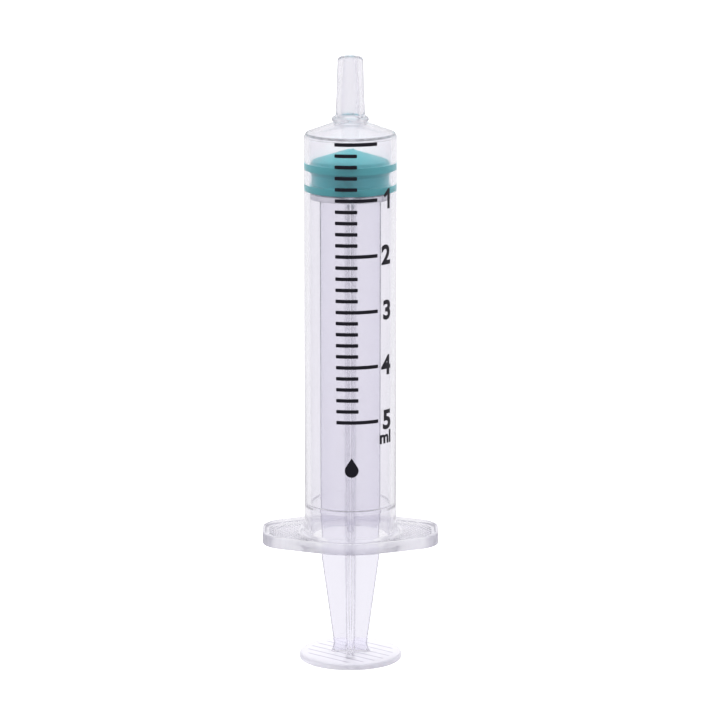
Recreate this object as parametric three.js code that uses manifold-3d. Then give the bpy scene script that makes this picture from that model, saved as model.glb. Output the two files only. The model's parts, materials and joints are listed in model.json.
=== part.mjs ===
// Oral syringe, 5 ml, three pieces: barrel, stopper and plunger rod.
//
// Frame: millimetres, +Z up along the syringe's axis towards the nozzle. The origin is the centre of
// the thumb rest's outer face, on which the syringe stands. +X runs along the finger flange's long
// axis. Rest is the stopper drawn back to about 0.45 ml.

import * as THREE from 'three';
import { mergeVertices } from 'three/addons/utils/BufferGeometryUtils.js';
import Module from 'manifold-3d';

// --- driving dimensions ---------------------------------------------------------------------------

const TURN_STEPS = 72; // facets round every large turned surface
const SMALL_TURN_STEPS = 36; // facets round the rod's disc and head
const PIN_STEPS = 16;

// Barrel
const BORE_R = 6.15;
const BARREL_R = 7.0;
const WALL = BARREL_R - BORE_R;
const SHOULDER_Z = 80.41; // where the cylinder's outside starts to round into the cone
const CONE_FOOT = { r: 6.72, z: 81.28 }; // outer foot of the conical shoulder
const CONE_HEAD = { r: 2.44, z: 82.86 }; // the narrow undercut below the collar
const INNER_CORNER = 0.15; // broken corner between the bore and the shoulder's inside
const COLLAR_R = 2.78;
const COLLAR_BASE_Z = 82.98;
const COLLAR_TOP_Z = 83.65;
const COLLAR_ROUND = 0.2;
const NOZZLE_BASE_R = 2.22;
const NOZZLE_FOOT_FILLET = 0.3;
const NOZZLE_TIP_R = 1.95;
const NOZZLE_ROUND = { width: 0.45, height: 0.65 }; // rounded edge of the nozzle's end
const NOZZLE_TOP_Z = 92.7;
const TIP_BORE_R = 1.0; // the narrow outlet
const TIP_BORE_STEP_Z = 90.09; // below it the nozzle's bore is wider
const TIP_STEP_LENGTH = 0.5;
const NOZZLE_BORE_TOP_R = 1.19;
const NOZZLE_BORE_BASE_R = 1.45;

// Retaining bead inside the open end: a steep face towards the nozzle, an easy one to the rear
const BEAD_R = 5.87;
const BEAD_TOP_Z = 24.56;
const BEAD_CREST_Z = 24.3;
const BEAD_REAR_Z = 23.85;
const FLARE_TOP_Z = 22.47;
const FLARE_FOOT_R = 7.3;
const MOUTH_R = 6.4; // lead-in at the open end
const MOUTH_LENGTH = 0.5;

// Finger flange, a lozenge: the hull of a large central circle and four corner circles
const FLANGE_REAR_Z = 18.45;
const FLANGE_FRONT_Z = 20.3;
const FLANGE_SIDE_R = 9.8;
const FLANGE_CORNER = { x: 8.8, y: 1.745, r: 4.6 };
const FLANGE_ARC_STEPS = 6;
const FLANGE_EDGE = 0.2; // small bevel all round
const FLANGE_RIM = 0.45; // from the outline to the pocket's wall
const POCKET_DEPTH = 0.4;
const BUMP_PITCH = 0.7;
const BUMP_R = 0.24;
const BUMP_HEIGHT = 0.15;
const BUMP_MARGIN = 0.4; // smooth floor between the outermost points and the walls

// Stopper, drawn at the size it has when squeezed by the bore
const STOPPER_REAR_Z = 72.46;
const SEAL_R = 6.1;
const WAIST_R = 5.81;
const REAR_SEAL_TOP_Z = 73.56;
const FRONT_SEAL_CHAMFER_Z = 75.12; // the front seal widens from here
const FRONT_SEAL_Z = 75.7;
const FRONT_SEAL_TOP_Z = 76.8;
const SEAL_ROUND = 0.12;
const CONE_STEP_R = 5.93; // the cone's base, just inside the front seal
const CONE_CORNER = { r: 5.7, z: 77.22 };
const CONE_APEX = { r: 0.6, z: 78.8 }; // the cone is blunt above this
const APEX_Z = 78.95;
const GATE_DIMPLE = { x: 0.1, r: 0.42, z: 78.86 };
const GATE_NUB = { x: 0.36, r: 0.16, z: 78.98 };
const SOCKET_MOUTH_R = 2.4;
const SOCKET_R = 3.3;
const SOCKET_LEDGE_Z = 74.1;
const SOCKET_LEDGE_SLOPE = 0.3;
const SOCKET_SHOULDER_Z = 75.75;
const SOCKET_END = { r: 1.6, z: 76.85 };

// Plunger rod
const THUMB_R = 7.8;
const THUMB_THICKNESS = 0.9;
const THUMB_EDGE = 0.18;
const GROOVE_FIELD_R = 6.7; // grooves stop here and leave a smooth rim
const GROOVE_PITCH = 1.72;
const GROOVE_WIDTH = 0.4;
const GROOVE_DEPTH = 0.16;
const GROOVE_SLANT = THREE.MathUtils.degToRad(49); // from the Y axis
const RIB_THICKNESS = 1.0;
const RIB_CHAMFER = 0.375; // both edges of every rib, so that a narrow flat is left between
const RIB_ROOT_FILLET = 0.55;
const RIB_HALF = 4.58; // half width of the parallel part
const RIB_PARALLEL_Z = 26.0; // parallel above this height
const RIB_KNEE = { half: 4.42, z: 15.9 }; // the steep taper starts here
const RIB_FOOT = { half: 2.55, z: 2.3 }; // narrowest place, above the foot's blend
const RIB_FOOT_BLEND = 0.6;
const RIB_SINK = 0.7; // how far the ribs run into the thumb rest and into the disc
const DISC_REAR_Z = 71.4;
const DISC_FRONT_Z = 72.34;
const DISC_R = 6.0; // wider than the bead, which keeps the rod in the barrel
const DISC_EDGE = 0.15;
const NECK_R = 2.1;
const HEAD_REAR_Z = 74.25;
const HEAD_EDGE = 0.2;
const HEAD_R = 3.0;
const HEAD_SHOULDER_Z = 75.3;
const HEAD_FRONT = { r: 1.4, z: 76.3 };

// Extra reach of a cutter or a joined piece, so that no two faces lie in one plane
const REACH = 0.4;

// --- solids ---------------------------------------------------------------------------------------

const wasm = await Module();
wasm.setup();

function toSolid(geometry) {
  const bare = geometry.clone();
  bare.deleteAttribute('normal');
  bare.deleteAttribute('uv');
  const merged = mergeVertices(bare, 1e-5);
  const vertProperties = new Float32Array(merged.attributes.position.array);
  const triVerts = new Uint32Array(merged.index.array);
  return new wasm.Manifold(new wasm.Mesh({ numProp: 3, vertProperties, triVerts }));
}

function toGeometry(solid) {
  const mesh = solid.getMesh();
  const geometry = new THREE.BufferGeometry();
  geometry.setAttribute('position', new THREE.BufferAttribute(mesh.vertProperties, 3));
  geometry.setIndex(new THREE.BufferAttribute(mesh.triVerts, 1));
  const flat = geometry.toNonIndexed();
  flat.computeVertexNormals();
  return flat;
}

const join = (solids) => solids.reduce((whole, solid) => whole.add(solid));

// A turned solid from [radius, z] points that go up the outside and come back down the inside.
function turned(profile, steps = TURN_STEPS) {
  const points = profile.map(([r, z]) => new THREE.Vector2(r, z));
  const geometry = new THREE.LatheGeometry(points, steps);
  geometry.rotateX(Math.PI / 2);
  return toSolid(geometry);
}

// Points of a quarter-ellipse blend between two [radius, z] corners, curving about `corner`.
function blend(from, to, corner, steps = 4) {
  const points = [];
  for (let i = 0; i <= steps; i += 1) {
    const angle = (i / steps) * (Math.PI / 2);
    const start = 1 - Math.sin(angle);
    const end = 1 - Math.cos(angle);
    points.push([
      corner[0] + (from[0] - corner[0]) * start + (to[0] - corner[0]) * end,
      corner[1] + (from[1] - corner[1]) * start + (to[1] - corner[1]) * end,
    ]);
  }
  return points;
}

// An outline in the XY plane, extruded from zLow to zHigh with an optional bevel on both edges.
function extruded(shape, zLow, zHigh, bevel = 0, curveSegments = 12) {
  const geometry = new THREE.ExtrudeGeometry(shape, {
    depth: zHigh - zLow - 2 * bevel,
    bevelEnabled: bevel > 0,
    bevelThickness: bevel,
    bevelSize: bevel,
    bevelOffset: -bevel,
    bevelSegments: 1,
    curveSegments,
  });
  geometry.translate(0, 0, zLow + bevel);
  return toSolid(geometry);
}

// --- barrel ---------------------------------------------------------------------------------------

const CONE_SLOPE = (CONE_HEAD.z - CONE_FOOT.z) / (CONE_FOOT.r - CONE_HEAD.r);
const outerConeZ = (r) => CONE_FOOT.z + (CONE_FOOT.r - r) * CONE_SLOPE;

// The conical shoulder's inside runs parallel to its outside, one wall thickness away.
const innerConeZ = (r) => outerConeZ(r) - WALL * Math.hypot(1, CONE_SLOPE);

function barrelOutside() {
  const nozzleFoot = [NOZZLE_BASE_R, COLLAR_TOP_Z];
  const nozzleEdge = [NOZZLE_TIP_R, NOZZLE_TOP_Z];
  return [
    [FLARE_FOOT_R, FLANGE_REAR_Z],
    [FLARE_FOOT_R, FLANGE_FRONT_Z],
    [BARREL_R, FLARE_TOP_Z],
    ...blend([BARREL_R, SHOULDER_Z], [CONE_FOOT.r, CONE_FOOT.z], [BARREL_R, outerConeZ(BARREL_R)]),
    [CONE_HEAD.r, CONE_HEAD.z],
    [COLLAR_R - COLLAR_ROUND, COLLAR_BASE_Z],
    [COLLAR_R, COLLAR_BASE_Z + COLLAR_ROUND],
    [COLLAR_R, COLLAR_TOP_Z - COLLAR_ROUND],
    [COLLAR_R - COLLAR_ROUND, COLLAR_TOP_Z],
    ...blend(
      [NOZZLE_BASE_R + NOZZLE_FOOT_FILLET, COLLAR_TOP_Z],
      [NOZZLE_BASE_R, COLLAR_TOP_Z + NOZZLE_FOOT_FILLET],
      nozzleFoot,
    ),
    ...blend(
      [NOZZLE_TIP_R, NOZZLE_TOP_Z - NOZZLE_ROUND.height],
      [NOZZLE_TIP_R - NOZZLE_ROUND.width, NOZZLE_TOP_Z],
      nozzleEdge,
    ),
  ];
}

function barrelInside() {
  return [
    [TIP_BORE_R, NOZZLE_TOP_Z],
    [TIP_BORE_R, TIP_BORE_STEP_Z],
    [NOZZLE_BORE_TOP_R, TIP_BORE_STEP_Z - TIP_STEP_LENGTH],
    [NOZZLE_BORE_BASE_R, innerConeZ(NOZZLE_BORE_BASE_R)],
    [BORE_R - INNER_CORNER, innerConeZ(BORE_R - INNER_CORNER)],
    [BORE_R, innerConeZ(BORE_R) - INNER_CORNER],
    [BORE_R, BEAD_TOP_Z],
    [BEAD_R, BEAD_CREST_Z],
    [BORE_R, BEAD_REAR_Z],
    [BORE_R, FLANGE_REAR_Z + MOUTH_LENGTH],
    [MOUTH_R, FLANGE_REAR_Z],
  ];
}

function barrelTube() {
  const outside = barrelOutside();
  return turned([...outside, ...barrelInside(), outside[0]]);
}

// The lozenge outline, drawn in by `inset`: an arc on each long side, two corner arcs at each end,
// and the straight lines that touch them.
function flangeOutline(inset) {
  const { x, y, r } = FLANGE_CORNER;
  const lean = Math.atan2(y, x) + Math.acos((FLANGE_SIDE_R - r) / Math.hypot(x, y));
  const arcs = [
    [x, -y, r, -lean, 0],
    [x, y, r, 0, lean],
    [0, 0, FLANGE_SIDE_R, lean, Math.PI - lean],
    [-x, y, r, Math.PI - lean, Math.PI],
    [-x, -y, r, Math.PI, Math.PI + lean],
    [0, 0, FLANGE_SIDE_R, Math.PI + lean, 2 * Math.PI - lean],
  ];
  const shape = new THREE.Shape();
  arcs.forEach(([cx, cy, radius, from, to]) => shape.absarc(cx, cy, radius - inset, from, to));
  shape.closePath();
  return shape;
}

// Whether a point lies inside a convex outline that runs anticlockwise.
function inside(outline, x, y) {
  return outline.every((start, i) => {
    const end = outline[(i + 1) % outline.length];
    return (end.x - start.x) * (y - start.y) >= (end.y - start.y) * (x - start.x);
  });
}

// Staggered rows of four-sided grip points on the pocket's floor. Half of each pyramid is buried.
function gripPoints() {
  const pyramid = new THREE.ConeGeometry(2 * BUMP_R, 2 * BUMP_HEIGHT, 4);
  pyramid.rotateX(Math.PI / 2);
  const bump = toSolid(pyramid).translate([0, 0, FLANGE_FRONT_Z - POCKET_DEPTH]);
  const field = flangeOutline(FLANGE_RIM + BUMP_MARGIN).getPoints(FLANGE_ARC_STEPS);
  const rowPitch = BUMP_PITCH * Math.sin(Math.PI / 3);
  const rows = Math.floor(FLANGE_SIDE_R / rowPitch);
  const columns = Math.ceil((FLANGE_CORNER.x + FLANGE_CORNER.r) / BUMP_PITCH);
  const points = [];
  for (let row = -rows; row <= rows; row += 1) {
    const shift = row % 2 === 0 ? 0 : BUMP_PITCH / 2;
    for (let column = -columns; column <= columns; column += 1) {
      const x = column * BUMP_PITCH + shift;
      const y = row * rowPitch;
      const clearOfBarrel = Math.hypot(x, y) > FLARE_FOOT_R + BUMP_MARGIN;
      if (clearOfBarrel && inside(field, x, y)) points.push(bump.translate([x, y, 0]));
    }
  }
  return join(points);
}

function fingerFlange() {
  const plateShape = flangeOutline(0);
  const hole = new THREE.Path();
  hole.absarc(0, 0, BARREL_R, 0, 2 * Math.PI, true);
  plateShape.holes.push(hole);
  const plate = extruded(plateShape, FLANGE_REAR_Z, FLANGE_FRONT_Z, FLANGE_EDGE, FLANGE_ARC_STEPS);
  const pocketFloorZ = FLANGE_FRONT_Z - POCKET_DEPTH;
  const pocketShape = flangeOutline(FLANGE_RIM);
  const pocket = extruded(pocketShape, pocketFloorZ, FLANGE_FRONT_Z + REACH, 0, FLANGE_ARC_STEPS);
  return plate.subtract(pocket).add(gripPoints());
}

function barrel() {
  return barrelTube().add(fingerFlange());
}

// --- stopper --------------------------------------------------------------------------------------

function stopperBody() {
  const outside = [
    [SEAL_R - SEAL_ROUND, STOPPER_REAR_Z],
    [SEAL_R, STOPPER_REAR_Z + SEAL_ROUND],
    [SEAL_R, REAR_SEAL_TOP_Z - SEAL_ROUND],
    [SEAL_R - SEAL_ROUND, REAR_SEAL_TOP_Z],
    [WAIST_R, REAR_SEAL_TOP_Z + SEAL_ROUND],
    [WAIST_R, FRONT_SEAL_CHAMFER_Z],
    [SEAL_R, FRONT_SEAL_Z],
    [SEAL_R, FRONT_SEAL_TOP_Z - SEAL_ROUND],
    [CONE_STEP_R, FRONT_SEAL_TOP_Z],
    [CONE_CORNER.r, CONE_CORNER.z],
    [CONE_APEX.r, CONE_APEX.z],
    [0, APEX_Z],
  ];
  const socket = [
    [0, SOCKET_END.z],
    [SOCKET_END.r, SOCKET_END.z],
    [SOCKET_R, SOCKET_SHOULDER_Z],
    [SOCKET_R, SOCKET_LEDGE_Z + SOCKET_LEDGE_SLOPE],
    [SOCKET_MOUTH_R, SOCKET_LEDGE_Z],
    [SOCKET_MOUTH_R, STOPPER_REAR_Z],
  ];
  return turned([...outside, ...socket, outside[0]]);
}

// A round pin beside the axis, from zLow to zHigh.
function pin({ x, r }, zLow, zHigh) {
  const profile = [
    [0, zLow],
    [r, zLow],
    [r, zHigh],
    [0, zHigh],
  ];
  return turned(profile, PIN_STEPS).translate([x, 0, 0]);
}

// The moulding gate leaves a shallow dimple at the apex and a small nub in it.
function stopper() {
  const dimple = pin(GATE_DIMPLE, GATE_DIMPLE.z, APEX_Z + REACH);
  const nub = pin(GATE_NUB, GATE_DIMPLE.z - REACH, GATE_NUB.z);
  return stopperBody().subtract(dimple).add(nub);
}

// --- plunger rod ----------------------------------------------------------------------------------

// One slanting V cutter per pitch, each as long as the grooved field is there.
function gripGrooves() {
  const count = Math.floor(GROOVE_FIELD_R / GROOVE_PITCH);
  const section = new THREE.Shape();
  section.moveTo(-GROOVE_WIDTH, -GROOVE_DEPTH);
  section.lineTo(GROOVE_WIDTH, -GROOVE_DEPTH);
  section.lineTo(0, GROOVE_DEPTH);
  section.closePath();
  const cutters = [];
  for (let i = -count; i <= count; i += 1) {
    const offset = i * GROOVE_PITCH;
    const halfLength = Math.sqrt(GROOVE_FIELD_R ** 2 - offset ** 2) - GROOVE_WIDTH;
    const cutter = new THREE.ExtrudeGeometry(section, { depth: 2 * halfLength, bevelEnabled: false });
    cutter.translate(offset, 0, -halfLength);
    cutter.rotateX(Math.PI / 2); // the groove now runs along Y, its ridge up
    cutter.rotateZ(GROOVE_SLANT); // and then slants from +Y-X to -Y+X
    cutters.push(toSolid(cutter));
  }
  return join(cutters);
}

function thumbRest() {
  const disc = turned([
    [0, 0],
    [THUMB_R - THUMB_EDGE, 0],
    [THUMB_R, THUMB_EDGE],
    [THUMB_R, THUMB_THICKNESS - THUMB_EDGE],
    [THUMB_R - THUMB_EDGE, THUMB_THICKNESS],
    [0, THUMB_THICKNESS],
  ]);
  return disc.subtract(gripGrooves());
}

// One full-width rib with chamfered edges, its face in the XZ plane.
function rib() {
  const foot = RIB_FOOT.half + RIB_FOOT_BLEND;
  const footZ = THUMB_THICKNESS;
  const rightSide = [
    [foot, footZ - RIB_SINK],
    ...blend([foot, footZ], [RIB_FOOT.half, RIB_FOOT.z], [RIB_FOOT.half, footZ]),
    [RIB_KNEE.half, RIB_KNEE.z],
    [RIB_HALF, RIB_PARALLEL_Z],
    [RIB_HALF, DISC_REAR_Z + RIB_SINK],
  ];
  const leftSide = rightSide.map(([half, z]) => [-half, z]).reverse();
  const corners = [...rightSide, ...leftSide].map(([x, z]) => new THREE.Vector2(x, z));
  const half = RIB_THICKNESS / 2;
  return extruded(new THREE.Shape(corners), -half, half, RIB_CHAMFER).rotate([90, 0, 0]);
}

// The four rounded corners where the ribs cross.
function ribCore() {
  const reach = RIB_THICKNESS / 2 + RIB_ROOT_FILLET;
  const axis = new THREE.Vector2();
  const shape = new THREE.Shape();
  for (let quarter = 0; quarter < 4; quarter += 1) {
    const turn = (quarter * Math.PI) / 2;
    const centre = new THREE.Vector2(reach, reach).rotateAround(axis, turn);
    shape.absarc(centre.x, centre.y, RIB_ROOT_FILLET, turn - Math.PI / 2, turn - Math.PI, true);
  }
  shape.closePath();
  return extruded(shape, THUMB_THICKNESS - RIB_SINK, DISC_REAR_Z + RIB_SINK, 0, 4);
}

function discAndHead() {
  return turned(
    [
      [0, DISC_REAR_Z],
      [DISC_R - DISC_EDGE, DISC_REAR_Z],
      [DISC_R, DISC_REAR_Z + DISC_EDGE],
      [DISC_R, DISC_FRONT_Z - DISC_EDGE],
      [DISC_R - DISC_EDGE, DISC_FRONT_Z],
      [NECK_R, DISC_FRONT_Z],
      [NECK_R, HEAD_REAR_Z],
      [HEAD_R, HEAD_REAR_Z + HEAD_EDGE],
      [HEAD_R, HEAD_SHOULDER_Z],
      [HEAD_FRONT.r, HEAD_FRONT.z],
      [0, HEAD_FRONT.z],
    ],
    SMALL_TURN_STEPS,
  );
}

function plungerRod() {
  const acrossX = rib();
  const acrossY = acrossX.rotate([0, 0, 90]);
  return join([thumbRest(), acrossX, acrossY, ribCore(), discAndHead()]);
}

// --- assembly -------------------------------------------------------------------------------------

function piece(name, solid, colour, roughness, opacity) {
  const material = new THREE.MeshStandardMaterial({ color: colour, roughness, metalness: 0 });
  material.transparent = opacity < 1;
  material.opacity = opacity;
  const mesh = new THREE.Mesh(toGeometry(solid), material);
  mesh.name = name;
  return mesh;
}

const syringe = new THREE.Group();
syringe.add(
  piece('barrel', barrel(), 0xe9e8f2, 0.15, 0.35),
  piece('stopper', stopper(), 0x58acb2, 0.55, 1),
  piece('plunger_rod', plungerRod(), 0xe2dfec, 0.25, 0.6),
);

export default syringe;
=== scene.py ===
import json
import math

import bmesh
import bpy
from mathutils import Matrix, Vector

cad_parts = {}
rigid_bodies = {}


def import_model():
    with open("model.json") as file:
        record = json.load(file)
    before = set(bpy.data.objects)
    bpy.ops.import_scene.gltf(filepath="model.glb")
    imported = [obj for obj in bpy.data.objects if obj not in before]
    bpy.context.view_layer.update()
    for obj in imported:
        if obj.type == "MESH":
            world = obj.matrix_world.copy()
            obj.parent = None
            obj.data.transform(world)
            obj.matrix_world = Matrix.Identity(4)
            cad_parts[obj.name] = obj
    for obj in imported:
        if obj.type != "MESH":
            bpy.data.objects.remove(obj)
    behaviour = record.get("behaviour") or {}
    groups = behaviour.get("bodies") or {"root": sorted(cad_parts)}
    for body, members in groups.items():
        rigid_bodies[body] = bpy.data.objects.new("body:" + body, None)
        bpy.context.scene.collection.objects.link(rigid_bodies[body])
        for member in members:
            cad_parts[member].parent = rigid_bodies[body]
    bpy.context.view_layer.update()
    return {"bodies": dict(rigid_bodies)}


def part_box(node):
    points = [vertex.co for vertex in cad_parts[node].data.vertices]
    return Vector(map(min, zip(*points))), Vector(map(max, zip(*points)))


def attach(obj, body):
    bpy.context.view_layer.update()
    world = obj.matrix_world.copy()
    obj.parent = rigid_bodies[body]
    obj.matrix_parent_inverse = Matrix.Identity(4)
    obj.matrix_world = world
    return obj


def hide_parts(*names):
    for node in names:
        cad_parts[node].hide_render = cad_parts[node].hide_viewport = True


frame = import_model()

# Shapes below are worked out in millimetres and turned into metres when each piece is finished.
MM = 0.001


def node_mm(node):
    """Lowest and highest corner of a CAD node, in millimetres."""
    low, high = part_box(node)
    return low / MM, high / MM


BARREL_LOW, BARREL_HIGH = node_mm("barrel")
STOPPER_LOW = node_mm("stopper")[0]
ROD_LOW, ROD_HIGH = node_mm("plunger_rod")

# --- driving dimensions, mm -------------------------------------------------------------------

TURN_STEPS = 192

# Barrel
BORE_R = 6.15
BARREL_R = 7.0
NOZZLE_END_Z = BARREL_HIGH.z
FLANGE_REAR_Z = BARREL_LOW.z
FLANGE_FRONT_Z = FLANGE_REAR_Z + 1.85
SHOULDER_Z = NOZZLE_END_Z - 12.29  # the cylinder's outside ends here
CONE_FOOT = (6.72, NOZZLE_END_Z - 11.42)  # outer foot of the conical shoulder
CONE_HEAD = (2.42, NOZZLE_END_Z - 9.83)
CONE_SLOPE = (CONE_HEAD[1] - CONE_FOOT[1]) / (CONE_FOOT[0] - CONE_HEAD[0])
COLLAR_R = 2.78
COLLAR_LOW_Z = NOZZLE_END_Z - 9.72
COLLAR_HIGH_Z = NOZZLE_END_Z - 9.05
NOZZLE_BASE_R = 2.22
NOZZLE_TIP_R = 1.93
TIP_BORE_R = 1.0
TIP_STEP_Z = NOZZLE_END_Z - 2.61
NOZZLE_BORE_TOP_R = 1.19
NOZZLE_BORE_BASE_R = 1.45
BEAD_R = 5.87
BEAD_TOP_Z = FLANGE_REAR_Z + 6.11
BEAD_CREST_Z = FLANGE_REAR_Z + 5.85
BEAD_REAR_Z = FLANGE_REAR_Z + 5.4
FLARE_TOP_Z = FLANGE_REAR_Z + 4.02
FLARE_FOOT_R = 7.3
MOUTH_R = 6.4

# Finger flange: the hull of a central circle and four corner circles
FLANGE_SIDE_R = BARREL_HIGH.y
FLANGE_CORNER_R = 4.6
FLANGE_CORNER_X = BARREL_HIGH.x - FLANGE_CORNER_R
FLANGE_CORNER_Y = 1.745
FLANGE_EDGE = 0.2
FLANGE_RIM = 0.45
POCKET_DEPTH = 0.4
GRIP_PITCH = 0.7
GRIP_R = 0.24
GRIP_HEIGHT = 0.15

# Stopper
SEAL_R = BORE_R + 0.012  # touches the wall, so that no air shows between them
WAIST_R = 5.81
STOPPER_REAR_Z = STOPPER_LOW.z
REAR_SEAL_END_Z = STOPPER_REAR_Z + 1.1
FRONT_SEAL_Z = STOPPER_REAR_Z + 3.24
FRONT_SEAL_END_Z = STOPPER_REAR_Z + 4.34
CONE_CORNER_Z = STOPPER_REAR_Z + 4.76
APEX_Z = STOPPER_REAR_Z + 6.48

# Plunger rod
THUMB_R = ROD_HIGH.x
THUMB_TOP_Z = ROD_LOW.z + 0.9
GROOVE_FIELD_R = 6.7
GROOVE_PITCH = 1.72
GROOVE_WIDTH = 0.3
GROOVE_DEPTH = 0.12
GROOVE_SLANT_DEG = 49
RIB_THICKNESS = 1.0
RIB_CHAMFER = 0.375  # both edges of every rib, so that a narrow flat is left between
ROOT_FILLET = 0.08
DISC_REAR_Z = ROD_HIGH.z - 4.9
DISC_FRONT_Z = ROD_HIGH.z - 3.96
DISC_R = 6.0

# Printed scale
INK_LOW_R = BARREL_R - 0.01
INK_HIGH_R = BARREL_R + 0.02
ML_LENGTH = 1000.0 / (math.pi * BORE_R**2)  # bore length that holds one millilitre
ZERO_LINE_Z = SHOULDER_Z - 0.03
LINE_HEIGHT = 0.54
DIVISIONS_PER_ML = 5
CAPACITY_ML = 5
LINE_START_DEG = -19.7
SHORT_LINE_END_DEG = 8.0
LONG_LINE_END_DEG = 34.5
NUMERAL_END_DEG = 57.0
NUMERAL_HEIGHT = 3.05
UNIT_HEIGHT = 2.0
STROKE_SWELL = 0.036  # thickens the built-in lettering, which also folds the 4's small counter shut
PRINT_LEAN = 0.0065  # the print runs a hair off the barrel's axis


# --- mesh helpers -----------------------------------------------------------------------------


def new_object(name, bm):
    mesh = bpy.data.meshes.new(name)
    bmesh.ops.recalc_face_normals(bm, faces=bm.faces)
    bm.to_mesh(mesh)
    bm.free()
    obj = bpy.data.objects.new(name, mesh)
    bpy.context.scene.collection.objects.link(obj)
    return obj


def rounded(corners, closed=False, steps=6):
    """A polyline whose corners (x, y, radius) are rounded with tangent arcs."""
    points = []
    count = len(corners)
    for i, (x, y, radius) in enumerate(corners):
        is_end = not closed and i in (0, count - 1)
        if radius <= 0 or is_end:
            points.append((x, y))
            continue
        here = Vector((x, y))
        before = Vector(corners[i - 1][:2]) - here
        after = Vector(corners[(i + 1) % count][:2]) - here
        half = before.angle(after) / 2
        reach = radius / math.tan(half)
        start = here + before.normalized() * reach
        end = here + after.normalized() * reach
        middle = (before.normalized() + after.normalized()).normalized()
        centre = here + middle * (radius / math.sin(half))
        sweep = (start - centre).angle_signed(end - centre)
        for k in range(steps + 1):
            spoke = (start - centre).copy()
            spoke.rotate(Matrix.Rotation(-sweep * k / steps, 2))
            points.append(tuple(centre + spoke))
    return points


def bridge(bm, low, high):
    """Faces between two loops of vertices; a loop of one vertex is a point on the axis."""
    count = max(len(low), len(high))
    for i in range(count):
        j = (i + 1) % count
        if len(low) == 1:
            bm.faces.new((low[0], high[i], high[j]))
        elif len(high) == 1:
            bm.faces.new((low[i], low[j], high[0]))
        else:
            bm.faces.new((low[i], low[j], high[j], high[i]))


def lathe(name, profile, steps=TURN_STEPS, centre=(0, 0)):
    """Turns a profile of (radius, z) whose ends are on the axis."""
    bm = bmesh.new()
    rings = []
    for r, z in profile:
        if r < 1e-6:
            rings.append([bm.verts.new((centre[0], centre[1], z))])
            continue
        angles = [2 * math.pi * k / steps for k in range(steps)]
        ring = [(centre[0] + r * math.cos(a), centre[1] + r * math.sin(a), z) for a in angles]
        rings.append([bm.verts.new(p) for p in ring])
    for low, high in zip(rings, rings[1:]):
        bridge(bm, low, high)
    return new_object(name, bm)


def loft(name, sections):
    """A closed solid through loops of points, all with the same number of points."""
    bm = bmesh.new()
    loops = [[bm.verts.new(p) for p in section] for section in sections]
    for low, high in zip(loops, loops[1:]):
        bridge(bm, low, high)
    bm.faces.new(loops[0])
    bm.faces.new(loops[-1])
    return new_object(name, bm)


def at_height(outline, z):
    return [(x, y, z) for x, y in outline]


def boolean(target, tool, operation):
    """Joins tool to target, or cuts it away, and removes the tool."""
    modifier = target.modifiers.new("join", "BOOLEAN")
    modifier.object = tool
    modifier.operation = operation
    modifier.solver = "EXACT"
    depsgraph = bpy.context.evaluated_depsgraph_get()
    result = bpy.data.meshes.new_from_object(target.evaluated_get(depsgraph))
    target.modifiers.clear()
    old = target.data
    target.data = result
    bpy.data.meshes.remove(old)
    bpy.data.objects.remove(tool)
    return target


def union(*objects):
    whole = objects[0]
    for other in objects[1:]:
        boolean(whole, other, "UNION")
    return whole


def merged(name, objects):
    """One object holding the separate solids of several."""
    bm = bmesh.new()
    for obj in objects:
        bm.from_mesh(obj.data)
        bpy.data.objects.remove(obj)
    return new_object(name, bm)


def finish_piece(obj, name, body, material, smooth_deg=32):
    """Scales a millimetre solid to metres, smooths it, and puts it on its body."""
    obj.name = name
    obj.data.name = name
    bm = bmesh.new()
    bm.from_mesh(obj.data)
    bmesh.ops.remove_doubles(bm, verts=bm.verts, dist=1e-4)
    bmesh.ops.dissolve_degenerate(bm, edges=bm.edges, dist=1e-5)
    bm.to_mesh(obj.data)
    bm.free()
    obj.data.transform(Matrix.Scale(MM, 4))
    obj.data.shade_smooth()
    obj.data.set_sharp_from_angle(angle=math.radians(smooth_deg))
    obj.data.materials.clear()
    obj.data.materials.append(material)
    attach(obj, body)
    return obj


# --- materials --------------------------------------------------------------------------------


class Nodes:
    """A small helper that adds and links shader nodes."""

    def __init__(self, tree):
        self.tree = tree
        tree.nodes.clear()

    def add(self, kind, inputs=None, **settings):
        node = self.tree.nodes.new(kind)
        for key, value in settings.items():
            setattr(node, key, value)
        for key, value in (inputs or {}).items():
            if isinstance(value, bpy.types.NodeSocket):
                self.tree.links.new(value, node.inputs[key])
            else:
                node.inputs[key].default_value = value
        return node


def new_material(name):
    material = bpy.data.materials.new(name)
    material.use_nodes = True
    return material, Nodes(material.node_tree)


def noise(nodes, coords, scale, detail=2.0):
    """Noise with features about scale metres across."""
    node = nodes.add("ShaderNodeTexNoise", {"Vector": coords, "Scale": 1.0 / scale, "Detail": detail})
    return node.outputs["Fac"]


def ranged(nodes, value, low, high):
    node = nodes.add("ShaderNodeMapRange", {"Value": value, "To Min": low, "To Max": high})
    return node.outputs["Result"]


def scaled(nodes, value, factor):
    return nodes.add("ShaderNodeMath", {0: value, 1: factor}, operation="MULTIPLY").outputs["Value"]


def mixed(nodes, factor, first, second):
    node = nodes.add("ShaderNodeMix", {0: factor, 6: first, 7: second}, data_type="RGBA")
    return node.outputs[2]


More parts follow.
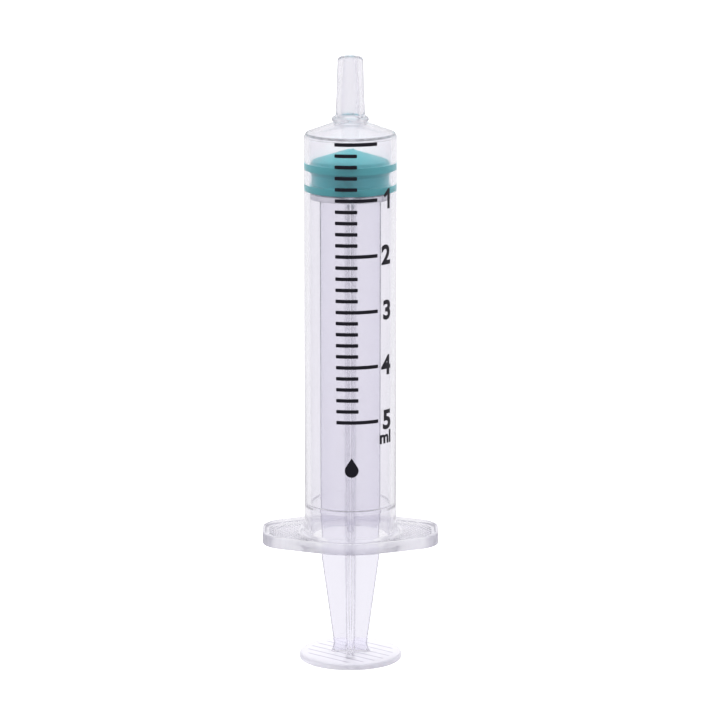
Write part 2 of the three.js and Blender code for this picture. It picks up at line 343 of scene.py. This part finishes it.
# What light loses on each pass through the skin of clear plastic, seen square on and edge on, and
# on each metre inside it.
BARREL_SKIN = ((0.988, 0.982, 1.0, 1), (0.88, 0.87, 0.93, 1))
ROD_SKIN = ((0.908, 0.896, 0.958, 1), (0.83, 0.82, 0.9, 1))
THICK_SKIN = ((0.988, 0.984, 1.0, 1), (0.9, 0.89, 0.95, 1))
BLOOM = (0.92, 0.905, 0.97, 1)
# darker colour of the thumb rest's stripes: painted shade standing in for the grip grooves seen through
# it
GROOVE_SHADE_PAINT = (0.4, 0.38, 0.5, 1)
DEPTH_TINT = (0.92, 0.91, 0.96, 1)
DEPTH_DENSITY = 20.0
PLASTIC_IOR = 1.49
MILKY_ROUGHNESS = 0.4
END_THICKNESS = 0.7  # how thick the nozzle and the disc count as, next to 1 for flange and thumb rest


def thick_beyond(nodes, coords, low, high):
    """How thick the plastic is: 1 below the low height, END_THICKNESS above the high one, else 0."""
    z = nodes.add("ShaderNodeSeparateXYZ", {"Vector": coords}).outputs["Z"]
    below = {"Value": z, "From Min": (low + 0.12) * MM, "From Max": (low + 0.02) * MM}
    above = {"Value": z, "From Min": (high - 0.12) * MM, "From Max": (high - 0.02) * MM}
    above["To Max"] = END_THICKNESS
    ends = [nodes.add("ShaderNodeMapRange", ramp).outputs["Result"] for ramp in (below, above)]
    return nodes.add("ShaderNodeMath", {0: ends[0], 1: ends[1]}, operation="MAXIMUM").outputs["Value"]


def groove_lines(nodes, coords):
    """The bloom's colour, with painted shade: darker stripes above the thumb rest's grip grooves.

    The bloom hides the cut grooves from above, so these painted shade stripes stand in for them there.
    """
    slant = math.radians(GROOVE_SLANT_DEG)
    across = Vector((math.cos(slant), math.sin(slant), 0)) / (GROOVE_PITCH * MM)
    place = nodes.add("ShaderNodeVectorMath", {0: coords, 1: across}, operation="DOT_PRODUCT")
    away = nodes.add("ShaderNodeMath", {0: place.outputs["Value"], 1: 0.5}, operation="PINGPONG")
    edge = GROOVE_WIDTH / 2 / GROOVE_PITCH
    ramp = {"Value": away.outputs["Value"], "From Min": edge * 1.4, "From Max": edge * 0.6}
    line = nodes.add("ShaderNodeMapRange", ramp).outputs["Result"]
    flat = nodes.add("ShaderNodeVectorMath", {0: coords, 1: (1, 1, 0)}, operation="MULTIPLY")
    reach = nodes.add("ShaderNodeVectorMath", {0: flat.outputs["Vector"]}, operation="LENGTH")
    rim = {"From Min": GROOVE_FIELD_R * MM, "From Max": (GROOVE_FIELD_R - 0.3) * MM}
    field = nodes.add("ShaderNodeMapRange", {"Value": reach.outputs["Value"], **rim}).outputs["Result"]
    return mixed(nodes, scaled(nodes, line, field), BLOOM, GROOVE_SHADE_PAINT)


def polypropylene(name, skin, thin_heights, gloss, haze, bloom, bump, pattern=None):
    """Clear moulded plastic: a clear part, a milky part and a whitish bloom on its outside.

    gloss, haze and bloom each hold the value between the thin_heights and the value beyond them.
    The gloss and the haze vary along the flow of the shot. pattern makes the bloom's colour.
    """
    material, nodes = new_material(name)
    coords = nodes.add("ShaderNodeTexCoord").outputs["Object"]
    along = nodes.add("ShaderNodeMapping", {"Vector": coords, "Scale": (1.0, 1.0, 0.18)})
    flow = noise(nodes, along.outputs["Vector"], 0.0016, 3.0)
    grain = noise(nodes, coords, 0.00035, 2.0)
    thick = thick_beyond(nodes, coords, *thin_heights)
    relief = nodes.add("ShaderNodeBump", {"Height": flow, "Strength": bump, "Distance": 0.00004})
    bending = {"IOR": PLASTIC_IOR, "Normal": relief.outputs["Normal"]}
    edge_on = nodes.add("ShaderNodeLayerWeight", {"Blend": 0.5}).outputs["Facing"]
    tint = mixed(nodes, thick, mixed(nodes, edge_on, *skin), mixed(nodes, edge_on, *THICK_SKIN))
    roughness = scaled(nodes, ranged(nodes, thick, *gloss), ranged(nodes, grain, 0.75, 1.25))
    clear = nodes.add(
        "ShaderNodeBsdfPrincipled",
        {"Base Color": tint, "Roughness": roughness, "Transmission Weight": 1.0, **bending},
    )
    milky = nodes.add("ShaderNodeBsdfGlass", {"Color": tint, "Roughness": MILKY_ROUGHNESS, **bending})
    share = scaled(nodes, ranged(nodes, thick, *haze), ranged(nodes, flow, 0.7, 1.3))
    body = nodes.add("ShaderNodeMixShader", {0: share, 1: clear.outputs[0], 2: milky.outputs[0]})
    inner_side = nodes.add("ShaderNodeNewGeometry").outputs["Backfacing"]
    bloom_share = scaled(nodes, ranged(nodes, thick, *bloom), ranged(nodes, inner_side, 1.0, 0.0))
    white = nodes.add("ShaderNodeBsdfDiffuse", {"Color": pattern(nodes, coords) if pattern else BLOOM})
    whole = nodes.add("ShaderNodeMixShader", {0: bloom_share, 1: body.outputs[0], 2: white.outputs[0]})
    depth = nodes.add("ShaderNodeVolumeAbsorption", {"Color": DEPTH_TINT, "Density": DEPTH_DENSITY})
    sockets = {"Surface": whole.outputs[0], "Volume": depth.outputs["Volume"]}
    nodes.add("ShaderNodeOutputMaterial", sockets)
    return material


def elastomer(name):
    """Teal moulded rubber: satin, with a fine grain and slight uneven colour."""
    material, nodes = new_material(name)
    coords = nodes.add("ShaderNodeTexCoord").outputs["Object"]
    clouds = noise(nodes, coords, 0.0022, 3.0)
    grain = noise(nodes, coords, 0.00012, 3.0)
    colour = mixed(nodes, clouds, (0.115, 0.55, 0.575, 1), (0.135, 0.61, 0.635, 1))
    relief = nodes.add("ShaderNodeBump", {"Height": grain, "Strength": 0.25, "Distance": 0.00002})
    shader = nodes.add(
        "ShaderNodeBsdfPrincipled",
        {
            "Base Color": colour,
            "Roughness": ranged(nodes, clouds, 0.36, 0.46),
            "Specular IOR Level": 0.45,
            "Normal": relief.outputs["Normal"],
        },
    )
    nodes.add("ShaderNodeOutputMaterial", {"Surface": shader.outputs["BSDF"]})
    return material


def printing_ink(name):
    """Black pad-printed ink: dense, with a slightly mottled sheen."""
    material, nodes = new_material(name)
    coords = nodes.add("ShaderNodeTexCoord").outputs["Object"]
    mottle = noise(nodes, coords, 0.00018, 3.0)
    colour = mixed(nodes, mottle, (0.003, 0.003, 0.006, 1), (0.012, 0.01, 0.018, 1))
    shader = nodes.add(
        "ShaderNodeBsdfPrincipled",
        {"Base Color": colour, "Roughness": ranged(nodes, mottle, 0.4, 0.6), "Specular IOR Level": 0.25},
    )
    nodes.add("ShaderNodeOutputMaterial", {"Surface": shader.outputs["BSDF"]})
    return material


# --- barrel -----------------------------------------------------------------------------------


def barrel_outside():
    corners = [
        (0, FLANGE_REAR_Z + 0.6, 0),
        (FLARE_FOOT_R + 0.3, FLANGE_REAR_Z + 0.6, 0),
        (FLARE_FOOT_R + 0.3, FLANGE_FRONT_Z - POCKET_DEPTH, 0),
        (FLARE_FOOT_R + 0.02, FLANGE_FRONT_Z - POCKET_DEPTH + 0.3, 0.3),
        (BARREL_R, FLARE_TOP_Z, 2.5),
        (BARREL_R, SHOULDER_Z + 0.35, 0.3),
        (CONE_FOOT[0], CONE_FOOT[1], 0.35),
        (CONE_HEAD[0], CONE_HEAD[1], 0.05),
        (CONE_HEAD[0], COLLAR_LOW_Z, 0.04),
        (COLLAR_R, COLLAR_LOW_Z, 0.2),
        (COLLAR_R, COLLAR_HIGH_Z, 0.2),
        (NOZZLE_BASE_R + 0.3, COLLAR_HIGH_Z, 0.1),
        (NOZZLE_BASE_R, COLLAR_HIGH_Z + 0.35, 0.3),
        (NOZZLE_TIP_R, NOZZLE_END_Z - 0.25, 0.6),
        (NOZZLE_TIP_R - 0.5, NOZZLE_END_Z, 0.35),
        (0, NOZZLE_END_Z, 0),
    ]
    return lathe("barrel_outside", rounded(corners))


def inner_cone_z(r):
    """The shoulder's inside runs one wall thickness under its outside."""
    outside = CONE_FOOT[1] + (CONE_FOOT[0] - r) * CONE_SLOPE
    return outside - (BARREL_R - BORE_R) * math.hypot(1, CONE_SLOPE)


def barrel_bore():
    corners = [
        (0, FLANGE_REAR_Z - 1.0, 0),
        (MOUTH_R + 0.5, FLANGE_REAR_Z - 1.0, 0),
        (MOUTH_R, FLANGE_REAR_Z, 0),
        (BORE_R, FLANGE_REAR_Z + 0.5, 0.4),
        (BORE_R, BEAD_REAR_Z, 0.3),
        (BEAD_R, BEAD_CREST_Z, 0.1),
        (BORE_R, BEAD_TOP_Z, 0.1),
        (BORE_R, inner_cone_z(BORE_R), 0.25),
        (NOZZLE_BORE_BASE_R, inner_cone_z(NOZZLE_BORE_BASE_R), 0.4),
        (NOZZLE_BORE_TOP_R, TIP_STEP_Z - 0.8, 0.4),
        (TIP_BORE_R, TIP_STEP_Z, 0.2),
        (TIP_BORE_R, NOZZLE_END_Z - 0.12, 0),
        (TIP_BORE_R + 0.15, NOZZLE_END_Z + 0.03, 0),
        (TIP_BORE_R + 0.15, NOZZLE_END_Z + 1.0, 0),
        (0, NOZZLE_END_Z + 1.0, 0),
    ]
    return lathe("barrel_bore", rounded(corners))


def lozenge(inset, steps=12):
    """The flange's outline, drawn in by inset, anticlockwise."""
    x, y, r = FLANGE_CORNER_X, FLANGE_CORNER_Y, FLANGE_CORNER_R
    lean = math.atan2(y, x) + math.acos((FLANGE_SIDE_R - r) / math.hypot(x, y))
    arcs = [
        (x, -y, r, -lean, 0),
        (x, y, r, 0, lean),
        (0, 0, FLANGE_SIDE_R, lean, math.pi - lean),
        (-x, y, r, math.pi - lean, math.pi),
        (-x, -y, r, math.pi, math.pi + lean),
        (0, 0, FLANGE_SIDE_R, math.pi + lean, 2 * math.pi - lean),
    ]
    points = []
    for centre_x, centre_y, radius, first, last in arcs:
        for k in range(steps + 1):
            angle = first + (last - first) * k / steps
            reach = radius - inset
            points.append((centre_x + reach * math.cos(angle), centre_y + reach * math.sin(angle)))
    return points


def edge_rings(low_z, high_z, edge, inset=0.0, steps=5):
    """(inset, z) of the rings of a plate with rounded edges."""
    rings = []
    for k in range(steps + 1):
        angle = math.pi / 2 * k / steps
        rings.append((inset + edge * (1 - math.sin(angle)), low_z + edge * (1 - math.cos(angle))))
    for k in range(steps + 1):
        angle = math.pi / 2 * k / steps
        rings.append((inset + edge * (1 - math.cos(angle)), high_z - edge * (1 - math.sin(angle))))
    return rings


def flange_plate():
    rings = edge_rings(FLANGE_REAR_Z, FLANGE_FRONT_Z, FLANGE_EDGE)
    return loft("flange_plate", [at_height(lozenge(inset), z) for inset, z in rings])


def flange_pocket():
    """The space above the grip floor, with a rounded foot all round."""
    floor_z = FLANGE_FRONT_Z - POCKET_DEPTH
    foot = 0.32
    rings = []
    for k in range(6):
        angle = math.pi / 2 * k / 5
        rings.append((FLANGE_RIM + foot * (1 - math.sin(angle)), floor_z + foot * (1 - math.cos(angle))))
    rings.append((FLANGE_RIM - 0.05, FLANGE_FRONT_Z - 0.03))
    rings.append((FLANGE_RIM - 0.2, FLANGE_FRONT_Z + 0.2))
    return loft("flange_pocket", [at_height(lozenge(inset), z) for inset, z in rings])


def inside(outline, x, y):
    """Whether a point lies inside a convex outline that runs anticlockwise."""
    for (x0, y0), (x1, y1) in zip(outline, outline[1:] + outline[:1]):
        if (x1 - x0) * (y - y0) < (y1 - y0) * (x - x0):
            return False
    return True


def grip_points():
    """Staggered rows of small domes on the pocket's floor."""
    floor_z = FLANGE_FRONT_Z - POCKET_DEPTH
    row_pitch = GRIP_PITCH * math.sqrt(3) / 2
    rows = int(FLANGE_SIDE_R / row_pitch)
    columns = int(BARREL_HIGH.x / GRIP_PITCH)
    field = lozenge(FLANGE_RIM + 0.35 + GRIP_R)
    profile = [
        (0, floor_z - 0.2),
        (GRIP_R, floor_z - 0.2),
        (GRIP_R, floor_z + 0.01),
        (GRIP_R * 0.7, floor_z + GRIP_HEIGHT * 0.7),
        (GRIP_R * 0.3, floor_z + GRIP_HEIGHT * 0.96),
        (0, floor_z + GRIP_HEIGHT),
    ]
    domes = []
    for row in range(-rows, rows + 1):
        for column in range(-columns, columns + 1):
            x = (column + 0.5 * (row % 2)) * GRIP_PITCH
            y = row * row_pitch
            clear = math.hypot(x, y) > FLARE_FOOT_R + 0.45 + GRIP_R
            if clear and inside(field, x, y):
                domes.append(lathe("dome", profile, steps=10, centre=(x, y)))
    return merged("grip_points", domes)


def make_barrel(material):
    flange = flange_plate()
    boolean(flange, flange_pocket(), "DIFFERENCE")
    boolean(flange, grip_points(), "UNION")
    body = union(flange, barrel_outside())
    boolean(body, barrel_bore(), "DIFFERENCE")
    finish_piece(body, "barrel_moulding", "barrel", material)
    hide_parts("barrel")
    return body


# --- stopper ----------------------------------------------------------------------------------


def stopper_body():
    rear = STOPPER_REAR_Z
    corners = [
        (0, rear + 4.38, 0),
        (1.6, rear + 4.38, 0.2),
        (3.3, rear + 3.28, 0.2),
        (3.3, rear + 1.78, 0.15),
        (2.4, rear + 1.64, 0.1),
        (2.4, rear, 0.15),
        (SEAL_R - 0.02, rear, 0.1),
        (SEAL_R, rear + 0.1, 0),
        (SEAL_R, REAR_SEAL_END_Z - 0.1, 0),
        (SEAL_R - 0.02, REAR_SEAL_END_Z, 0.1),
        (WAIST_R, REAR_SEAL_END_Z + 0.08, 0.12),
        (WAIST_R, FRONT_SEAL_Z - 0.58, 0.3),
        (SEAL_R, FRONT_SEAL_Z, 0.12),
        (SEAL_R, FRONT_SEAL_END_Z - 0.05, 0.05),
        (5.93, FRONT_SEAL_END_Z + 0.02, 0.08),
        (5.72, CONE_CORNER_Z, 0.45),
        (0.55, APEX_Z - 0.12, 0.4),
        (0, APEX_Z, 0),
    ]
    return lathe("stopper_body", rounded(corners))


def make_stopper(material):
    """The moulding gate leaves a shallow dimple at the apex and a small nub in it."""
    body = stopper_body()
    dimple = [(0, APEX_Z - 0.09), (0.3, APEX_Z - 0.08), (0.5, APEX_Z + 0.1), (0, APEX_Z + 0.1)]
    boolean(body, lathe("gate_dimple", dimple, steps=32, centre=(0.1, 0)), "DIFFERENCE")
    nub = [
        (0, APEX_Z - 0.5),
        (0.18, APEX_Z - 0.5),
        (0.15, APEX_Z - 0.02),
        (0.06, APEX_Z + 0.06),
        (0, APEX_Z + 0.07),
    ]
    boolean(body, lathe("gate_nub", nub, steps=24, centre=(0.42, -0.1)), "UNION")
    finish_piece(body, "stopper_moulding", "stopper", material)
    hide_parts("stopper")
    return body


# --- plunger rod ------------------------------------------------------------------------------


def cross_outline(half, thickness, root):
    """A plus-shaped section with chamfered rib edges and filleted roots."""
    side = thickness / 2
    flat = side - RIB_CHAMFER
    shoulder = half - RIB_CHAMFER
    arm = [
        (shoulder, -side, 0.06),
        (half, -flat, 0.05),
        (half, flat, 0.05),
        (shoulder, side, 0.06),
        (side, side, root),
    ]
    corners = []
    for quarter in range(4):
        turn = Matrix.Rotation(quarter * math.pi / 2, 2)
        for x, y, radius in arm:
            spot = turn @ Vector((x, y))
            corners.append((spot.x, spot.y, radius))
    return rounded(corners, closed=True, steps=4)


def rib_sections():
    """(z, half width, thickness, root fillet) up the cross-shaped shaft."""
    foot_z = THUMB_TOP_Z + 1.4
    sections = [(THUMB_TOP_Z - 0.4, 3.2, 1.15, ROOT_FILLET)]
    for k in range(9):
        angle = math.pi / 2 * k / 8
        spread = 1 - math.sin(angle)
        z = THUMB_TOP_Z + 1.4 * (1 - math.cos(angle))
        sections.append((z, 2.55 + 0.65 * spread, RIB_THICKNESS + 0.15 * spread, ROOT_FILLET))
    sections.append((foot_z + 13.6, 4.42, RIB_THICKNESS, ROOT_FILLET))
    sections.append((foot_z + 23.7, 4.58, RIB_THICKNESS, ROOT_FILLET))
    sections.append((DISC_REAR_Z - 0.3, 4.58, RIB_THICKNESS, ROOT_FILLET))
    sections.append((DISC_REAR_Z + 0.4, 4.9, RIB_THICKNESS + 0.4, ROOT_FILLET))
    return sections


def rod_shaft():
    loops = []
    for z, half, thickness, root in rib_sections():
        loops.append(at_height(cross_outline(half, thickness, root), z))
    return loft("rod_shaft", loops)


def thumb_rest():
    corners = [
        (0, ROD_LOW.z, 0),
        (THUMB_R, ROD_LOW.z, 0.2),
        (THUMB_R, THUMB_TOP_Z, 0.3),
        (0, THUMB_TOP_Z, 0),
    ]
    rest = lathe("thumb_rest", rounded(corners))
    return boolean(rest, grip_grooves(), "DIFFERENCE")


def grip_grooves():
    """Slanting V grooves across the thumb rest's outer face, inside a smooth rim."""
    count = int(GROOVE_FIELD_R / GROOVE_PITCH)
    slant = Matrix.Rotation(math.radians(GROOVE_SLANT_DEG), 3, "Z")
    grooves = []
    for i in range(-count, count + 1):
        offset = i * GROOVE_PITCH
        reach = math.sqrt(GROOVE_FIELD_R**2 - offset**2)
        sections = []
        for y, scale in ((-reach, 0.05), (-reach + 0.6, 1.0), (reach - 0.6, 1.0), (reach, 0.05)):
            depth = GROOVE_DEPTH * scale
            wide = GROOVE_WIDTH / 2 * scale
            section = [
                (offset - wide, y, ROD_LOW.z - 0.001),
                (offset - wide - 0.1, y, ROD_LOW.z - 0.3),
                (offset + wide + 0.1, y, ROD_LOW.z - 0.3),
                (offset + wide, y, ROD_LOW.z - 0.001),
                (offset + wide * 0.2, y, ROD_LOW.z + depth),
                (offset - wide * 0.2, y, ROD_LOW.z + depth),
            ]
            sections.append([slant @ Vector(p) for p in section])
        grooves.append(loft("groove", sections))
    return merged("grip_grooves", grooves)


def disc_and_head():
    corners = [
        (0, DISC_REAR_Z, 0),
        (DISC_R, DISC_REAR_Z, 0.2),
        (DISC_R, DISC_FRONT_Z, 0.2),
        (2.1, DISC_FRONT_Z, 0.1),
        (2.1, DISC_FRONT_Z + 1.95, 0.1),
        (3.0, DISC_FRONT_Z + 2.05, 0.15),
        (3.0, DISC_FRONT_Z + 2.95, 0.2),
        (1.4, ROD_HIGH.z, 0.2),
        (0, ROD_HIGH.z, 0),
    ]
    return lathe("disc_and_head", rounded(corners))


def ejector_mark(x, z, radius):
    """A very shallow round witness mark on the rib face that looks along -Y."""
    depth = 0.08
    face_y = -RIB_THICKNESS / 2
    mark = lathe("mark", [(0, -1), (radius, -1), (radius, depth), (0, depth)], steps=48)
    mark.data.transform(Matrix.Rotation(math.radians(-90), 4, "X"))
    mark.data.transform(Matrix.Translation((x, face_y, z)))
    return mark


def make_rod(material):
    rod = union(thumb_rest(), rod_shaft(), disc_and_head())
    boolean(rod, ejector_mark(-1.75, 27.0, 0.9), "DIFFERENCE")
    boolean(rod, ejector_mark(-1.3, 4.2, 0.45), "DIFFERENCE")
    finish_piece(rod, "rod_moulding", "plunger", material)
    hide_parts("plunger_rod")
    return rod


# --- printed scale ----------------------------------------------------------------------------


def wrap(bm, start_deg, z):
    """Rolls flat faces (x along the arc, y up) on to the barrel as a thin closed film."""
    xs = [v.co.x for v in bm.verts]
    step = 0.25
    cut = math.ceil(min(xs) / step) * step
    while cut < max(xs):
        geometry = bm.verts[:] + bm.edges[:] + bm.faces[:]
        bmesh.ops.bisect_plane(bm, geom=geometry, plane_co=(cut, 0, 0), plane_no=(1, 0, 0), dist=1e-5)
        cut += step
    bmesh.ops.recalc_face_normals(bm, faces=bm.faces)
    walls = bmesh.ops.extrude_face_region(bm, geom=bm.faces[:])
    for v in walls["geom"]:
        if isinstance(v, bmesh.types.BMVert):
            v.co.z = 1.0
    for v in bm.verts:
        height = z + v.co.y
        slip = (ZERO_LINE_Z - height) * PRINT_LEAN
        angle = math.radians(start_deg) + (v.co.x + slip) / BARREL_R
        r = INK_HIGH_R if v.co.z > 0.5 else INK_LOW_R
        v.co = Vector((r * math.sin(angle), -r * math.cos(angle), height))


def printed(bm_all, outline, start_deg, z):
    """Adds one flat outline to the print."""
    bm = bmesh.new()
    bm.faces.new([bm.verts.new((x, y, 0)) for x, y in outline])
    wrap(bm, start_deg, z)
    append(bm_all, bm)


def scale_line(bm_all, end_deg, z):
    length = math.radians(end_deg - LINE_START_DEG) * BARREL_R
    half = LINE_HEIGHT / 2
    corners = [(0, -half, 0.1), (length, -half, 0.1), (length, half, 0.1), (0, half, 0.1)]
    printed(bm_all, rounded(corners, closed=True, steps=3), LINE_START_DEG, z)


def append(bm_all, bm):
    mesh = bpy.data.meshes.new("part")
    bm.to_mesh(mesh)
    bm.free()
    bm_all.from_mesh(mesh)
    bpy.data.meshes.remove(mesh)


def make_scale_lines(material):
    bm = bmesh.new()
    for step in range(CAPACITY_ML * DIVISIONS_PER_ML + 1):
        end = LONG_LINE_END_DEG if step % DIVISIONS_PER_ML == 0 else SHORT_LINE_END_DEG
        scale_line(bm, end, ZERO_LINE_Z - step * ML_LENGTH / DIVISIONS_PER_ML)
    return finish_piece(new_object("scale_lines", bm), "scale_lines", "barrel", material)


def lettering(bm_all, text, height, z):
    """Plain upright lettering of one height that ends at the numerals' right margin."""
    curve = bpy.data.curves.new("lettering", "FONT")
    curve.body = text
    curve.resolution_u = 6
    curve.offset = STROKE_SWELL
    holder = bpy.data.objects.new("lettering", curve)
    bpy.context.scene.collection.objects.link(holder)
    mesh = bpy.data.meshes.new_from_object(holder.evaluated_get(bpy.context.evaluated_depsgraph_get()))
    bpy.data.objects.remove(holder)
    bm = bmesh.new()
    bm.from_mesh(mesh)
    bpy.data.meshes.remove(mesh)
    bmesh.ops.remove_doubles(bm, verts=bm.verts, dist=1e-5)
    right = max(v.co.x for v in bm.verts)
    low, high = min(v.co.y for v in bm.verts), max(v.co.y for v in bm.verts)
    size = height / (high - low)
    for v in bm.verts:
        v.co = Vector(((v.co.x - right) * size, (v.co.y - (low + high) / 2) * size, 0))
    wrap(bm, NUMERAL_END_DEG, z)
    append(bm_all, bm)


def numeral_one(bm_all, z):
    """A stem with a slanting flag, which the built-in lettering lacks."""
    half = NUMERAL_HEIGHT / 2
    outline = [
        (0, -half),
        (0, half),
        (-0.42, half),
        (-1.4, half - 0.95),
        (-1.12, half - 1.32),
        (-0.58, half - 0.88),
        (-0.58, -half),
    ]
    printed(bm_all, outline, NUMERAL_END_DEG - 0.8, z)


def make_numerals(material):
    bm = bmesh.new()
    numeral_one(bm, ZERO_LINE_Z - ML_LENGTH)
    for ml in range(2, CAPACITY_ML + 1):
        lettering(bm, str(ml), NUMERAL_HEIGHT, ZERO_LINE_Z - ml * ML_LENGTH)
    return finish_piece(new_object("scale_numerals", bm), "scale_numerals", "barrel", material)


def make_unit(material):
    bm = bmesh.new()
    lettering(bm, "ml", UNIT_HEIGHT, ZERO_LINE_Z - CAPACITY_ML * ML_LENGTH - 2.65)
    return finish_piece(new_object("scale_unit", bm), "scale_unit", "barrel", material)


def make_drop_mark(material):
    """A plain droplet, the general sign for a liquid dose."""
    radius, tip = 1.05, 1.95
    lean = math.acos(radius / tip)
    points = [(0, tip)]
    steps = 28
    for k in range(steps + 1):
        angle = math.pi / 2 + lean + (2 * math.pi - 2 * lean) * k / steps
        points.append((radius * math.cos(angle), radius * math.sin(angle)))
    bm = bmesh.new()
    printed(bm, points, -1.0, ZERO_LINE_Z - CAPACITY_ML * ML_LENGTH - 7.4)
    return finish_piece(new_object("drop_mark", bm), "drop_mark", "barrel", material)


# --- studio -----------------------------------------------------------------------------------

# Direct view of floor and backdrop is plain white. What the clear plastic bends or mirrors is a
# white backdrop, a bright ceiling and the unlit side of the studio behind the camera. A raised
# softbox on either side lights the matt surfaces only, so that the plastic shows no hot spots.
BACKDROP = (1.05, 1.045, 1.06, 1)
CAMERA_SIDE = (0.46, 0.45, 0.51, 1)
OVERHEAD = (1.4, 1.4, 1.42, 1)
SOFTBOX = (3.2, 3.2, 3.25, 1)


def faded(nodes, value, start, end):
    """0 at start, 1 at end, smooth between."""
    ramp = {"Value": value, "From Min": start, "From Max": end}
    return nodes.add("ShaderNodeMapRange", ramp, interpolation_type="SMOOTHSTEP").outputs["Result"]


def surroundings(nodes):
    """The studio's brightness in the direction of the ray, as a colour."""
    incoming = nodes.add("ShaderNodeNewGeometry").outputs["Incoming"]
    to_camera = nodes.add(
        "ShaderNodeVectorTransform",
        {"Vector": incoming},
        vector_type="VECTOR",
        convert_from="WORLD",
        convert_to="CAMERA",
    )
    seen = nodes.add("ShaderNodeSeparateXYZ", {"Vector": to_camera.outputs["Vector"]}).outputs
    aside = nodes.add("ShaderNodeMath", {0: seen["X"]}, operation="ABSOLUTE").outputs["Value"]
    downwards = nodes.add("ShaderNodeSeparateXYZ", {"Vector": incoming}).outputs["Z"]
    level = mixed(nodes, faded(nodes, seen["Z"], 0.45, -0.75), CAMERA_SIDE, BACKDROP)
    roofed = mixed(nodes, faded(nodes, downwards, -0.6, -0.9), level, OVERHEAD)
    boxed = scaled(nodes, faded(nodes, aside, 0.3, 0.65), faded(nodes, downwards, -0.25, -0.55))
    scattered = nodes.add("ShaderNodeLightPath").outputs["Diffuse Depth"]
    lighting = nodes.add("ShaderNodeMath", {0: scattered, 1: 1.0}, operation="MINIMUM").outputs["Value"]
    return mixed(nodes, scaled(nodes, boxed, lighting), roofed, SOFTBOX)


def make_world():
    world = bpy.data.worlds.new("studio")
    world.use_nodes = True
    bpy.context.scene.world = world
    nodes = Nodes(world.node_tree)
    seen = nodes.add("ShaderNodeLightPath").outputs["Is Camera Ray"]
    colour = mixed(nodes, seen, surroundings(nodes), (1, 1, 1, 1))
    background = nodes.add("ShaderNodeBackground", {"Color": colour, "Strength": 1.0})
    nodes.add("ShaderNodeOutputWorld", {"Surface": background.outputs["Background"]})


def make_floor():
    material, nodes = new_material("floor_white")
    seen = nodes.add("ShaderNodeLightPath").outputs["Is Camera Ray"]
    paint = nodes.add("ShaderNodeBsdfDiffuse", {"Color": (0.8, 0.8, 0.8, 1)})
    glow = nodes.add("ShaderNodeEmission", {"Color": (1, 1, 1, 1), "Strength": 0.42})
    direct = nodes.add("ShaderNodeAddShader", {0: paint.outputs[0], 1: glow.outputs[0]})
    bounced = nodes.add("ShaderNodeEmission", {"Color": surroundings(nodes), "Strength": 1.0})
    shader = nodes.add("ShaderNodeMixShader", {0: seen, 1: bounced.outputs[0], 2: direct.outputs[0]})
    nodes.add("ShaderNodeOutputMaterial", {"Surface": shader.outputs[0]})
    bm = bmesh.new()
    bmesh.ops.create_circle(bm, cap_ends=True, radius=3.0, segments=96)
    floor = new_object("floor", bm)
    floor.data.materials.append(material)
    floor.location.z = ROD_LOW.z * MM - 0.00004
    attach(floor, "plunger")


def make_camera():
    camera = bpy.data.cameras.new("camera")
    camera.sensor_width = 36.0
    camera.lens = 197.7
    camera.clip_start = 0.01
    camera.clip_end = 20.0
    holder = bpy.data.objects.new("camera", camera)
    bpy.context.scene.collection.objects.link(holder)
    holder.location = (0.00062, -0.577, 0.1659)
    holder.rotation_euler = (math.radians(90 - 11.61), 0, 0)
    bpy.context.scene.camera = holder
    follow_plunger(holder)


PLUNGER_TRAVEL = 0.0467  # metres the plunger can be drawn out from rest
CAMERA_BACK_OFF = -0.3  # metres the camera moves over that travel, along Y and along Z
CAMERA_SHIFT = 0.037


def follow_plunger(holder):
    """Backs the camera off and lowers it as the plunger is drawn out, to keep the whole in frame."""
    for axis, gain in (("y", CAMERA_BACK_OFF), ("z", CAMERA_SHIFT)):
        rule = holder.constraints.new("TRANSFORM")
        rule.target = frame["bodies"]["plunger"]
        rule.map_from = "LOCATION"
        rule.map_to = "LOCATION"
        rule.mix_mode = "ADD"
        rule.from_min_z = -PLUNGER_TRAVEL
        rule.from_max_z = 0.0
        setattr(rule, f"map_to_{axis}_from", "Z")
        setattr(rule, f"to_min_{axis}", gain)
        setattr(rule, f"to_max_{axis}", 0.0)


def set_light_paths():
    """Clear plastic inside clear plastic needs many passes through surfaces."""
    scene = bpy.context.scene
    scene.view_settings.view_transform = "Standard"
    cycles = scene.cycles
    cycles.max_bounces = 28
    cycles.transmission_bounces = 28
    cycles.glossy_bounces = 12
    cycles.diffuse_bounces = 4
    cycles.use_denoising = True
    cycles.sample_clamp_indirect = 8.0


# --- build ------------------------------------------------------------------------------------

clear_plastic = polypropylene(
    "clear_plastic",
    BARREL_SKIN,
    (FLANGE_FRONT_Z, COLLAR_LOW_Z),
    gloss=(0.06, 0.1),
    haze=(0.12, 0.22),
    bloom=(0, 0.12),
    bump=0.006,
)
natural_plastic = polypropylene(
    "natural_plastic",
    ROD_SKIN,
    (THUMB_TOP_Z, DISC_REAR_Z - 0.1),
    gloss=(0.08, 0.12),
    haze=(0.1, 0.2),
    bloom=(0, 0.36),
    bump=0.01,
    # painted shade: darker stripes in the bloom over the thumb rest's grip grooves
    pattern=groove_lines,
)
teal_rubber = elastomer("teal_elastomer")
black_ink = printing_ink("black_ink")

make_barrel(clear_plastic)
make_stopper(teal_rubber)
make_rod(natural_plastic)
make_scale_lines(black_ink)
make_numerals(black_ink)
make_unit(black_ink)
make_drop_mark(black_ink)

make_world()
make_floor()
make_camera()
set_light_paths()
